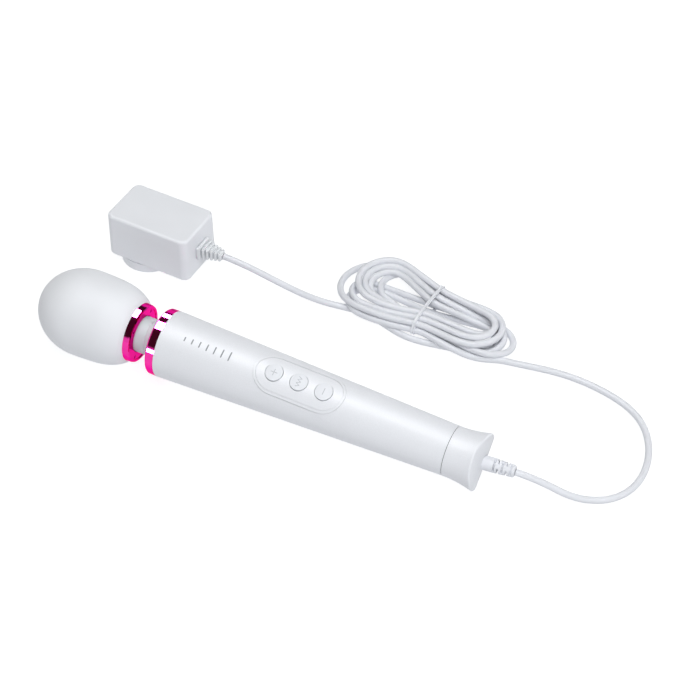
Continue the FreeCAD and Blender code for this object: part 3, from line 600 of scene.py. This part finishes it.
def make_neck():
    """The neck's soft tubes, each in two halves that meet at the pivot."""
    for node, tube in NECK_TUBES.items():
        rear = bent_half(node + "_back", tube, NECK_PIVOT, tube["back"])
        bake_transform(rear)
        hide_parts(node)
        fore = bent_half(node + "_front", tube, tube["front"], NECK_PIVOT)
        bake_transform(fore)


# ---------------------------------------------------------------- generic mark

MARK_START = 80.5
MARK_PITCH = 5.5
MARK_BARS = 7
MARK_ANGLE = math.radians(113)
MARK_FIRST_HALF = 1.6
MARK_GROWTH = 0.3
MARK_STEPS = 16
MARK_HALF_WIDTH = 0.45
MARK_END_POWER = 12
MARK_END_LEAST = 0.02
MARK_PROUD = 0.05
MARK_SUNK = 0.05


def handle_radius(station):
    share = (station - HANDLE_FRONT) / (HANDLE_BACK - HANDLE_FRONT)
    return HANDLE_FRONT_R + (HANDLE_BACK_R - HANDLE_FRONT_R) * share


def make_mark():
    """Row of thin inlaid bars that grow along the handle, like a scale of intensity."""
    steps = MARK_STEPS
    points, faces = [], []
    for i in range(MARK_BARS):
        station = MARK_START + i * MARK_PITCH
        half = MARK_FIRST_HALF + MARK_GROWTH * i
        base = len(points)
        for k in range(steps + 1):
            along = -1 + 2 * k / steps
            width = MARK_HALF_WIDTH * math.sqrt(max(1 - abs(along) ** MARK_END_POWER, MARK_END_LEAST))
            angle = MARK_ANGLE + along * half / handle_radius(station)
            for side, proud in ((-1, -MARK_SUNK), (-1, MARK_PROUD), (1, MARK_PROUD), (1, -MARK_SUNK)):
                s = station + side * width
                points.append(on_wand(s, handle_radius(s) + proud, angle))
        faces += [tuple(base + n for n in f) for f in ring_faces(steps + 1, 4)]
        faces += [(base, base + 1, base + 2, base + 3),
                  tuple(base + steps * 4 + n for n in (3, 2, 1, 0))]
    mark = mesh_object("intensity_mark", points, faces, "mark", smooth=False)
    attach(mark, "handle")


# ---------------------------------------------------------------- key symbols

PANEL_ANGLE = math.radians(90 + 20.8)
KEY_DOME_R = 42.0
KEY_PROUD = 0.7
KEY_STATIONS = {"plus": 145.3, "mode": 163.1, "minus": 180.9}
SYMBOL_HALF = 2.3
WAVE_HALF = 3.6
WAVE_SWING = 1.2
WAVE_STROKES = 6
SYMBOL_SINK = 0.07
SYMBOL_DEPTH = 0.2
SYMBOL_HALF_WIDTH = 0.27
STROKE_PARTS = 4
MITRE_LIMIT = 0.4


def on_key(station, x, y, sink):
    """Point just under a key's domed top, from its centre, along the wand and across it."""
    centre = handle_radius(station) + KEY_PROUD - KEY_DOME_R
    height = centre + math.sqrt(KEY_DOME_R ** 2 - x * x - y * y) - sink
    out = wand_side * math.cos(PANEL_ANGLE) + wand_up * math.sin(PANEL_ANGLE)
    across = wand_axis.cross(out) * -1
    return wand_origin + (wand_axis * (station + x) + across * y + out * height) * MM


def stroke_mesh(station, path):
    """Filled engraving along a polyline, with mitred corners and the dome's own curve."""
    fine = [path[0]]
    for (x0, y0), (x1, y1) in zip(path[:-1], path[1:]):
        fine += [(x0 + (x1 - x0) * k / STROKE_PARTS, y0 + (y1 - y0) * k / STROKE_PARTS)
                 for k in range(1, STROKE_PARTS + 1)]
    line = np.array(fine)
    steps = np.diff(line, axis=0)
    steps /= np.linalg.norm(steps, axis=1)[:, None]
    before = np.vstack([steps[:1], steps])
    after = np.vstack([steps, steps[-1:]])
    points = []
    for (x, y), a, b in zip(line, before, after):
        normal = np.array([-(a[1] + b[1]), a[0] + b[0]])
        normal /= np.linalg.norm(normal)
        reach = SYMBOL_HALF_WIDTH / max(abs(normal @ np.array([-a[1], a[0]])), MITRE_LIMIT)
        for side, sink in ((-1, SYMBOL_DEPTH), (-1, SYMBOL_SINK), (1, SYMBOL_SINK), (1, SYMBOL_DEPTH)):
            corner_x = x + normal[0] * side * reach
            corner_y = y + normal[1] * side * reach
            points.append(on_key(station, corner_x, corner_y, sink))
    last = (len(line) - 1) * 4
    faces = ring_faces(len(line), 4) + [(0, 1, 2, 3), tuple(last + n for n in (3, 2, 1, 0))]
    return points, faces


def make_symbols():
    """Plus, wave and minus, each filled with a darker tone and riding on its own key."""
    across = [(0, -SYMBOL_HALF), (0, SYMBOL_HALF)]
    along = [(-SYMBOL_HALF, 0), (SYMBOL_HALF, 0)]
    wave = [((-WAVE_SWING, WAVE_SWING)[i % 2], -WAVE_HALF + 2 * WAVE_HALF * i / WAVE_STROKES)
            for i in range(WAVE_STROKES + 1)]
    for key, paths in (("plus", [across, along]), ("mode", [wave]), ("minus", [across])):
        points, faces = [], []
        for path in paths:
            more_points, more_faces = stroke_mesh(KEY_STATIONS[key], path)
            faces += [tuple(len(points) + n for n in face) for face in more_faces]
            points += more_points
        symbol = mesh_object("symbol_" + key, points, faces, "symbol", smooth=False)
        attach(symbol, "key_" + key)


# ---------------------------------------------------------------- stage

STAGE_CENTRE = Vector((0.03, 0.05, 0.02))
LIGHT_DISTANCE = 1.55
LIGHT_COLOUR = (0.97, 0.98, 1.0)
STRIP_WIDTH = 0.7
STRIP_RADIANCE = 55.0
MIRRORED_LEAN = -0.28
HORIZON = (0.95, 0.96, 0.97, 1)
BELOW_HORIZON = (0.635, 0.645, 0.675, 1)
OVERHEAD_DARK = (0.05, 0.045, 0.03, 1)
FLOOR_HALF = 6.0
FLOOR_DROP = 0.3
CAMERA_LENS = 104.65
CAMERA_PLACE = (0.44939, -0.80283, 0.96838)
CAMERA_TARGET = Vector((0.0276, 0.0755, 0.0))


def softbox(name, direction, width, height, radiance, glossy=True, diffuse=True, centre=STAGE_CENTRE):
    """Rectangular light that faces the object from a direction. Its radiance sets its power."""
    light = bpy.data.lights.new(name, "AREA")
    light.shape = "RECTANGLE"
    light.size = width
    light.size_y = height
    light.energy = radiance * 4 * width * height
    light.color = LIGHT_COLOUR
    obj = bpy.data.objects.new(name, light)
    bpy.context.scene.collection.objects.link(obj)
    away = Vector(direction).normalized()
    obj.location = centre + away * LIGHT_DISTANCE
    obj.rotation_euler = away.to_track_quat("Z", "Y").to_euler()
    obj.visible_camera = False
    obj.visible_glossy = glossy
    obj.visible_diffuse = diffuse
    return obj


def bow(degrees):
    """Direction round the wand's cross plane, from its +Y side, leaning towards the head."""
    flat = math.sqrt(1 - MIRRORED_LEAN ** 2)
    turn = math.radians(degrees)
    across = wand_side * math.cos(turn) + wand_up * math.sin(turn)
    return wand_axis * MIRRORED_LEAN + across * flat


def link_light(light, nodes, state):
    """Limit a light to the named nodes, or keep it off them."""
    linked = bpy.data.collections.new(light.name)
    for node in nodes:
        linked.objects.link(frame["nodes"][node])
    for entry in linked.collection_objects:
        entry.light_linking.link_state = state
    light.light_linking.receiver_collection = linked


def ring_strip(name, low, high, *nodes):
    """Very bright strip between two angles of the bow, which only the plated rings mirror."""
    height = 2 * LIGHT_DISTANCE * math.tan(math.radians(high - low) / 2)
    centre = on_wand(COLLAR_FACE, 0, 0)
    strip = softbox(name, bow((low + high) / 2), STRIP_WIDTH, height, STRIP_RADIANCE,
                    diffuse=False, centre=centre)
    strip.data.cycles.max_bounces = 0
    link_light(strip, nodes, "INCLUDE")


def make_lights():
    softbox("key", (0.45, -0.45, 0.9), width=1.5, height=1.5, radiance=2.31, glossy=False)
    softbox("overhead", (-0.1, 0.3, 1.0), width=1.8, height=1.8, radiance=0.9, glossy=False)
    sheen = softbox("sheen", bow(91), width=0.9, height=0.8, radiance=7.4, diffuse=False)
    link_light(sheen, ["collar_ring", "head_ring"], "EXCLUDE")
    ring_strip("strip_top", 66, 105, "collar_ring")
    ring_strip("strip_back", 28, 44, "collar_ring")
    ring_strip("strip_front", 170, 184, "collar_ring")
    ring_strip("strip_head", 47, 80, "head_ring")


def make_world():
    """Pale at the horizon and dark above, so that metal has something to mirror."""
    world = bpy.data.worlds.new("studio")
    bpy.context.scene.world = world
    world.use_nodes = True
    nodes, links = world.node_tree.nodes, world.node_tree.links
    place = nodes.new("ShaderNodeTexCoord")
    split = nodes.new("ShaderNodeSeparateXYZ")
    ramp = nodes.new("ShaderNodeValToRGB")
    ramp.color_ramp.elements[0].position = 0.47
    ramp.color_ramp.elements[0].color = BELOW_HORIZON
    ramp.color_ramp.elements[1].position = 0.5
    ramp.color_ramp.elements[1].color = HORIZON
    for position, colour in ((0.6, HORIZON), (0.67, OVERHEAD_DARK)):
        ramp.color_ramp.elements.new(position).color = colour
    height = nodes.new("ShaderNodeMapRange")
    height.inputs["From Min"].default_value = -1
    links.new(place.outputs["Generated"], split.inputs["Vector"])
    links.new(split.outputs["Z"], height.inputs["Value"])
    links.new(height.outputs["Result"], ramp.inputs["Fac"])
    links.new(ramp.outputs["Color"], nodes["Background"].inputs["Color"])


def make_floor():
    look = Look("floor", Roughness=0.9, Specular_IOR_Level=0.1, Emission_Strength=0.85)
    look.shader.inputs["Emission Color"].default_value = (0.99, 0.995, 1, 1)
    look.colour((0.26, 0.265, 0.27), (0.28, 0.285, 0.29), look.ranged(look.noise(6, 2), 0, 1))
    look.bump(look.noise(400, 2), 0.02, 0.05)
    mesh = bpy.data.meshes.new("floor")
    corners = [(x * FLOOR_HALF, y * FLOOR_HALF, 0) for x, y in ((-1, -1), (1, -1), (1, 1), (-1, 1))]
    mesh.from_pydata(corners, [], [(0, 1, 2, 3)])
    floor = bpy.data.objects.new("floor", mesh)
    floor.location.z = -FLOOR_DROP * MM
    floor.visible_diffuse = False
    mesh.materials.append(look.material)
    bpy.context.scene.collection.objects.link(floor)


def make_camera():
    data = bpy.data.cameras.new("camera")
    data.lens = CAMERA_LENS
    data.sensor_width = 36.0
    data.clip_start = 0.05
    data.clip_end = 30
    camera = bpy.data.objects.new("camera", data)
    bpy.context.scene.collection.objects.link(camera)
    camera.location = CAMERA_PLACE
    camera.rotation_euler = (CAMERA_TARGET - camera.location).to_track_quat("-Z", "Y").to_euler()
    bpy.context.scene.camera = camera


bpy.context.scene.view_settings.view_transform = "Standard"
make_camera()
make_world()
make_lights()
make_floor()
dress_cad_nodes()
cord, cord_line = make_cord()
[make_tie(cord_line)] + [frame["nodes"][node] for node in PIECES_ON_CORD]
make_neck()
make_mark()
make_symbols()
